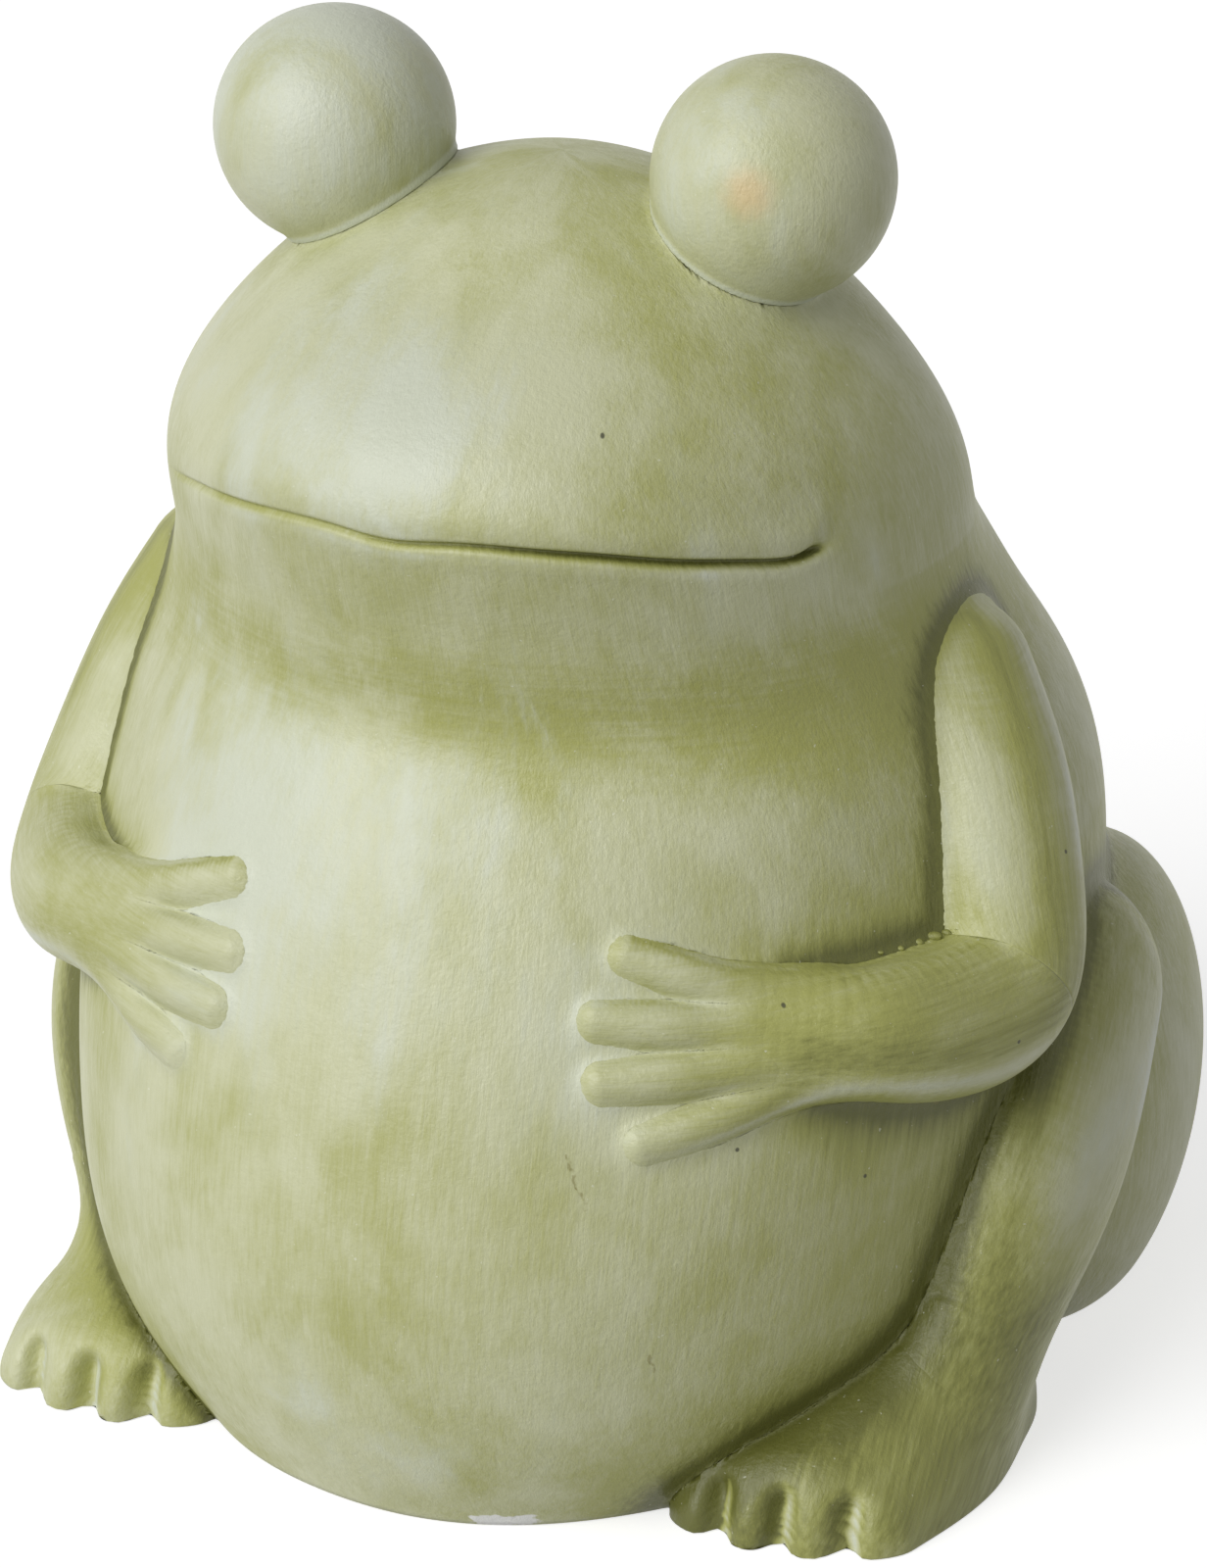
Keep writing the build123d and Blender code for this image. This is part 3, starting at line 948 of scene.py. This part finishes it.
def body_casting():
    """Grid of inner and outer skin, with neighbours blended in and the mouth cut."""
    turn = np.linspace(-np.pi, np.pi, body_columns, endpoint=False)
    around = (turn - 0.3 * np.sin(turn))[None]
    outside = body_places(240)
    lining = Skin(wall)
    inside = np.linspace(lining.pole, 0, 40)
    outer = skin.surface(outside[:, None], around)
    inner = lining.surface(inside[:, None], around)
    inner[..., 2] = np.maximum(inner[..., 2], 0)
    rows = len(outside) + len(inside)
    flat = pole_rows(np.concatenate([inner, outer]))
    outer_first = 1 + (len(inside) - 1) * body_columns
    others = [(eyes[name], eye_softness) for name in SIDES]
    others += [(hands[name], arm_softness) for name in SIDES]
    others += [(haunches[name], haunch_softness) for name in SIDES]
    others += [(legs[name], leg_softness) for name in SIDES]
    skin_points = settle(flat[outer_first:], skin, others)
    normal = skin.gap(skin_points)[1]
    relief = mouth_relief(skin_points) + hand_wobble(skin_points, 0.35)
    skin_points = skin_points + normal * relief[:, None]
    limbs = [piece[name] for piece in (arms, haunches, legs) for name in SIDES]
    nearest = np.min([limb.gap(skin_points)[0] for limb in limbs], axis=0)
    crease = np.zeros(len(flat))
    crease[outer_first:] = body_wash_and_painted_light(skin_points, normal, nearest)
    flat[outer_first:] = skin_points
    along = np.concatenate([300 + np.arange(len(inside)), outside])[:, None]
    level_reach = np.concatenate([lining.levels(inside), skin.levels(outside)])[:, 1:2]
    reach = 30 + 0.7 * level_reach
    brush = np.stack(np.broadcast_arrays(reach * np.sin(around), -reach * np.cos(around), along), -1)
    return ground(flat), rows, body_columns, pole_rows(brush), crease


add_piece("body_casting", "body_shell", [body_casting()], wash)

# %% [markdown]
# ## Eyes
# Each eye is a ball set on the head. A bead of filler was wiped round its foot, so the ball's points close to
# the skin stand out in a thin ring.

# %% Eye balls
eye_rub = {"left": 0.15, "right": 0.4}


def eye_ball(name):
    """Ball, with the hidden part drawn up into the wall and a raised bead near the skin."""
    rows, columns = 110, 150
    flat = pole_rows(eyes[name].surface(rows, columns))
    brush = flat
    flat = settle(flat, eyes[name], [(skin, eye_softness)])
    height, _ = skin.gap(flat)
    normal = unit(flat - eyes[name].middle)
    bead = 0.6 * bell(height, 1.2, 0.8)
    flat = flat + normal * (bead + hand_wobble(flat, 0.25))[:, None]
    crease = 0.3 * fading(height, 6) - 1.4 * bead - eye_rub[name]
    return keep_in_wall(flat), rows, columns, brush, crease


for name in SIDES:
    add_piece(f"{name}_eye_ball", f"{name}_eye", [eye_ball(name)], wash)

# %% [markdown]
# ## Arms and hands
# An arm is two castings that meet at the elbow. Both are cut from one path, so they share the ring where they
# meet and the bend stays smooth. The four fingers are limbs of their own in the forearm's casting.

# %% Arms


def limb_shell(limb, field, others, rows, columns, side, wash, brush=None, **ends):
    """Closed shell of a limb, settled on its neighbours, with wash and painted light by the way its surface
    faces.
    """
    grid = limb.surface(rows, columns, **ends)
    flat = keep_in_wall(settle(pole_rows(grid), field, others))
    outward = unit(union_of(flat, field, others)[1])
    flat = ground(flat + outward * hand_wobble(flat, 0.25)[:, None])
    bearing = np.degrees(np.arctan2(side * outward[:, 0], -outward[:, 1]))
    strokes = brush(flat) if brush else limb_brush(grid)
    return flat, grid.shape[0], columns, strokes, wash(flat, bearing, outward[:, 2], side)


def hand_brush(points):
    """Strokes run round the body, so that they pass from forearm to fingers without a break."""
    x, y, z = points.T
    return np.stack([np.hypot(x, y), z, 100 * np.arctan2(x, -y)], 1)


def leg_brush(points):
    """Strokes run down and forwards at one slope, so that they pass from shin to foot without a break."""
    x, y, z = points.T
    return np.stack([x, 0.66 * y - 0.75 * z, 0.75 * y + 0.66 * z], 1)


def skin_crease(points, reach):
    """Wash and painted shade in the crease where a limb lies on the body, fading over a reach."""
    return fading(skin.gap(points)[0], reach)


def arm_wash_and_shade(points, bearing, rise, side):
    """Yellow ridge and wiped inner face on the upper arm; a wiped band low along the forearm; painted shade
    along the underside, where the arm meets the body.
    """
    upper = np.clip((points[:, 2] - 116) / 22, 0, 1)
    wrist = np.clip((np.abs(points[:, 0]) - 52) / 30, 0, 1)
    ridge = 0.4 * bell(bearing, 58, 16) - 0.3 * bell(bearing, 15, 20) - 0.4 * bell(bearing, 100, 9)
    band = (0.3 if side > 0 else 0.1) - 0.7 * bell(rise, -0.45, 0.16) + 0.15 * bell(rise, 0, 0.3)
    # Painted shade along the underside, where the arm meets the body.
    rim = 0.6 * skin_crease(points, 1.6) * np.clip(0.25 - rise, 0, 1)
    return 0.2 + rim + ridge * upper + (band * wrist - 0.35 * (1 - wrist)) * (1 - upper)


def hand_wash_and_shade(points, bearing, rise, side):
    """The forearm's wash and painted shade, yellower on top of the fingers and wiped paler in the grooves
    between them.
    """
    name = "left" if side > 0 else "right"
    second = np.sort([finger.gap(points)[0] for finger in fingers[name]], axis=0)[1]
    clear = np.clip((arms[name].gap(points)[0] - 2) / 5, 0, 1)
    groove = fading(second, 1.3) * clear
    top = clear * np.clip(skin.gap(points)[0] / 2.5, 0, 1)
    return arm_wash_and_shade(points, bearing, rise, side) + 0.1 * top - 0.5 * groove


def crumb_shells(places):
    """Crumbs of squeezed-out filler: small uneven lumps of (x, y, z, radius)."""
    shells = []
    for x, y, z, radius in places:
        crumb = Lump([x, y, z], [radius * 1.5, radius, radius * 0.8])
        flat = pole_rows(crumb.surface(14, 18))
        flat = flat + hand_wobble(flat * 9, 0.5 * radius)[:, None] * unit(flat - crumb.middle)
        shells.append((flat, 14, 18, flat, np.full(len(flat), 0.7)))
    return shells


elbow_crumbs = [
    [87.5, -57.6, 123.6, 0.6],
    [90.2, -53.6, 123.2, 0.8],
    [93, -49, 123, 0.9],
    [94.8, -45.8, 123.4, 1.3],
    [96.8, -43.2, 123.2, 1],
    [98.2, -41, 122.4, 1.4],
]

for name, side in SIDES.items():
    arm = arms[name]
    elbow_place = arm.places[elbow_index]
    beside = [(palms[name], wrist_softness), (skin, arm_softness)]
    beside += [(shins[name], touch_softness), (haunches[name], touch_softness)]
    under_fingers = [(arm, wrist_softness), (skin, arm_softness)]
    upper = limb_shell(arm, arm, beside, 90, 110, side, arm_wash_and_shade, end=elbow_place, round_end=False)
    lower = limb_shell(
        arm, arm, beside, 110, 110, side, hand_wash_and_shade, hand_brush, start=elbow_place, round_start=False)
    add_piece(f"{name}_upper_arm_casting", f"{name}_upper_arm", [upper], wash)
    hand = [lower]
    for finger in fingers[name]:
        hand.append(limb_shell(
            finger, palms[name], under_fingers, 80, 72, side, hand_wash_and_shade, hand_brush))
    if name == "left":
        hand += crumb_shells(elbow_crumbs)
    add_piece(f"{name}_forearm_and_hand", f"{name}_forearm", hand, wash)

# %% [markdown]
# ## Legs
# A leg is folded: the haunch is a broad lump, the shin comes down in front of it, and the foot has a flat
# sole and four short toes. The crease between haunch and shin is sharp on the real frog, so its
# softness is small.

# %% Haunches, shins and feet
foot_wash = {1: 0.62, -1: -0.05}


def lump_shell(lump, others, rows, columns):
    """Closed shell of a haunch, settled and cut flat."""
    grid = lump.surface(rows, columns)
    flat = keep_in_wall(settle(pole_rows(grid), lump, others))
    return ground(flat), rows, columns, pole_rows(grid), 0.15 + skin_crease(flat, 5)


def leg_crease(points):
    """Deep wash and painted shade where the leg lies on the belly."""
    return skin_crease(points, 8) + 0.5 * skin_crease(points, 2)


def notched_foot(name, others):
    """Foot shell whose front is pushed back in a bell-shaped notch between each two toes."""
    foot, side = feet[name], SIDES[name]
    rows, columns = 120, 300
    grid = foot.surface(rows, columns)
    flat = keep_in_wall(settle(pole_rows(grid), foot, others))
    outward = unit(union_of(flat, foot, others)[1])
    flat = flat + outward * hand_wobble(flat, 0.25)[:, None]
    front = eased(np.clip((foot.ball + 9 - flat[:, 1]) / 17, 0, 1))
    low = eased(np.clip((15 - flat[:, 2]) / 7, 0, 1))
    across = side * flat[:, 0]
    notches = np.sum([bell(across, x, notch_half_width) for x in toe_notches[name]], axis=0)
    flat[:, 1] += notch_depth * front * low * notches
    # The flank of each notch that faces the lamp is painted paler as light, and the other flank darker as
    # shade.
    lit = np.sum([bell(across, x + 1.4 * side, 1.1) for x in toe_notches[name]], axis=0)
    shaded = np.sum([bell(across, x - 1.3 * side, 1.8) for x in toe_notches[name]], axis=0)
    crease = foot_wash[side] + leg_crease(flat) + front * low * (0.3 * shaded - 1.1 * lit)
    return ground(flat), grid.shape[0], columns, leg_brush(flat), crease


def shin_wash_and_painted_light(points, bearing, rise, side):
    """Wash over the knee and in front, a wiped streak outside with a painted highlight on the edge by the
    haunch, and deep wash with painted shade in the crease along the belly.
    """
    # The pale line at a bearing of 100 degrees is a painted highlight on the edge by the haunch.
    streak = 0.3 * bell(bearing, 40, 14) - 0.3 * bell(bearing, 75, 14) - 0.6 * bell(bearing, 100, 8)
    streak += 0.4 * bell(points[:, 2], 96, 14)
    ankle = np.clip((66 - points[:, 2]) / 30, 0, 1)
    return streak * (1 - ankle) + foot_wash[side] * ankle + leg_crease(points)


for name, side in SIDES.items():
    foot, shin, haunch = feet[name], shins[name], haunches[name]
    around_haunch = [(skin, haunch_softness), (shin, fold_softness)]
    around_haunch += [(arms[name], touch_softness), (foot, touch_softness)]
    add_piece(f"{name}_haunch_casting", f"{name}_haunch", [lump_shell(haunch, around_haunch, 130, 150)], wash)
    around_shin = [(foot, ankle_softness), (skin, leg_softness)]
    around_shin += [(haunch, fold_softness), (arms[name], touch_softness)]
    shin_shell = limb_shell(shin, shin, around_shin, 110, 120, side, shin_wash_and_painted_light, leg_brush)
    add_piece(f"{name}_shin_casting", f"{name}_shin", [shin_shell], wash)
    around_foot = [(shin, ankle_softness), (skin, leg_softness), (haunch, fold_softness)]
    add_piece(f"{name}_foot_and_toes", f"{name}_foot", [notched_foot(name, around_foot)], wash)

# %% [markdown]
# ## Floor and light
# A pale floor carries the shadow. The photograph's shading falls from a broad lamp to the left of the camera,
# a little above it, with soft light from all round.

# %% Stage
floor_glow = 0.68
round_light = 0.2
key_azimuth = -27
key_elevation = 38
key_spread = 50
key_strength = 2.4


def direction(azimuth, elevation):
    """Unit vector from the object towards a place: azimuth from the front towards its left, in degrees."""
    a, e = np.radians(azimuth), np.radians(elevation)
    return np.array([np.sin(a) * np.cos(e), -np.cos(a) * np.cos(e), np.sin(e)])


def aim(thing, place, target):
    """Turns a lamp or camera so that it looks from its place at the target, in metres."""
    thing.location = place
    thing.rotation_euler = Vector(np.array(target) - np.array(place)).to_track_quat("-Z", "Y").to_euler()


def pale_floor():
    """Large plane a hair below the frog. For the camera a little light of its own brings it up to white."""
    mesh = bpy.data.meshes.new("floor")
    half, height = 6.0, -0.0003
    corners = [(-half, -half, height), (half, -half, height), (half, half, height), (-half, half, height)]
    mesh.from_pydata(corners, [], [(0, 1, 2, 3)])
    floor = bpy.data.objects.new("floor", mesh)
    bpy.context.scene.collection.objects.link(floor)
    paint = Paint(bpy.data.materials.new("pale_floor"))
    glowing = paint.node("ShaderNodeBsdfPrincipled", {}, {
        "Base Color": (0.55, 0.55, 0.55, 1),
        "Roughness": 0.9,
        "Emission Color": (1, 1, 1, 1),
        "Emission Strength": floor_glow,
    })
    paint.shader.inputs["Base Color"].default_value = (0.55, 0.55, 0.55, 1)
    paint.shader.inputs["Roughness"].default_value = 0.9
    seen = seen_directly(paint)
    plain = Value(paint, paint.shader.outputs[0])
    both = paint.node("ShaderNodeMixShader", {}, {0: seen, 1: plain, 2: glowing})
    paint.feed(paint.tree.nodes["Material Output"].inputs["Surface"], both)
    mesh.materials.append(paint.owner)


def seen_directly(paint):
    """1 for rays from the camera, mirror rays and rays through glass, and 0 for light that bounces."""
    path = paint.node("ShaderNodeLightPath", {}, {})
    outputs = path.socket.node.outputs
    kinds = ("Is Camera Ray", "Is Glossy Ray", "Is Transmission Ray")
    camera_ray, mirror_ray, glass_ray = (Value(paint, outputs[kind]) for kind in kinds)
    return (camera_ray + mirror_ray + glass_ray).clipped()


def studio_world():
    """Even white light from all round, and a white background for the camera."""
    world = bpy.data.worlds.new("studio")
    bpy.context.scene.world = world
    paint = Paint(world)
    soft = paint.tree.nodes["Background"]
    soft.inputs["Color"].default_value = (1, 1, 1, 1)
    soft.inputs["Strength"].default_value = round_light
    white = paint.node("ShaderNodeBackground", {}, {"Color": (1, 1, 1, 1), "Strength": 1.0})
    round_about = Value(paint, soft.outputs[0])
    shown = paint.node("ShaderNodeMixShader", {}, {0: seen_directly(paint), 1: round_about, 2: white})
    paint.feed(paint.tree.nodes["World Output"].inputs["Surface"], shown)


def key_lamp(azimuth, elevation, spread, strength):
    """Distant lamp, as even over the floor as a large softbox. Its spread softens shadows and gloss."""
    lamp = bpy.data.lights.new("key_lamp", "SUN")
    lamp.angle = np.radians(spread)
    lamp.energy = strength
    thing = bpy.data.objects.new("key_lamp", lamp)
    bpy.context.scene.collection.objects.link(thing)
    aim(thing, direction(azimuth, elevation) * 2, (0, 0, 0.14))


pale_floor()
studio_world()
key_lamp(key_azimuth, key_elevation, key_spread, key_strength)
print("floor, world and a key lamp of strength", key_strength)

# %% [markdown]
# ## Camera
# The camera stands where the photograph was taken, as far as the outline tells: to the frog's left and above
# it. The lens follows from the focal length in pixels over the picture's longer side.

# %% Camera
view_azimuth = 21
view_elevation = 24.5
view_distance = 1.34
focal_pixels = 6316
image_height = 1600
camera_data = bpy.data.cameras.new("camera")
camera = bpy.data.objects.new("camera", camera_data)
bpy.context.scene.collection.objects.link(camera)
bpy.context.scene.camera = camera
camera_data.sensor_width = 36
camera_data.lens = focal_pixels / image_height * camera_data.sensor_width
to_camera = direction(view_azimuth, view_elevation)
right = np.array([np.cos(np.radians(view_azimuth)), np.sin(np.radians(view_azimuth)), 0])
up = np.cross(to_camera, right)
target = np.array([0, -0.0095, 0.134]) + 0.0074 * right - 0.0064 * up
aim(camera, target + to_camera * view_distance, target)
bpy.context.scene.view_settings.view_transform = "Standard"
print("lens", round(camera_data.lens, 1), "mm")
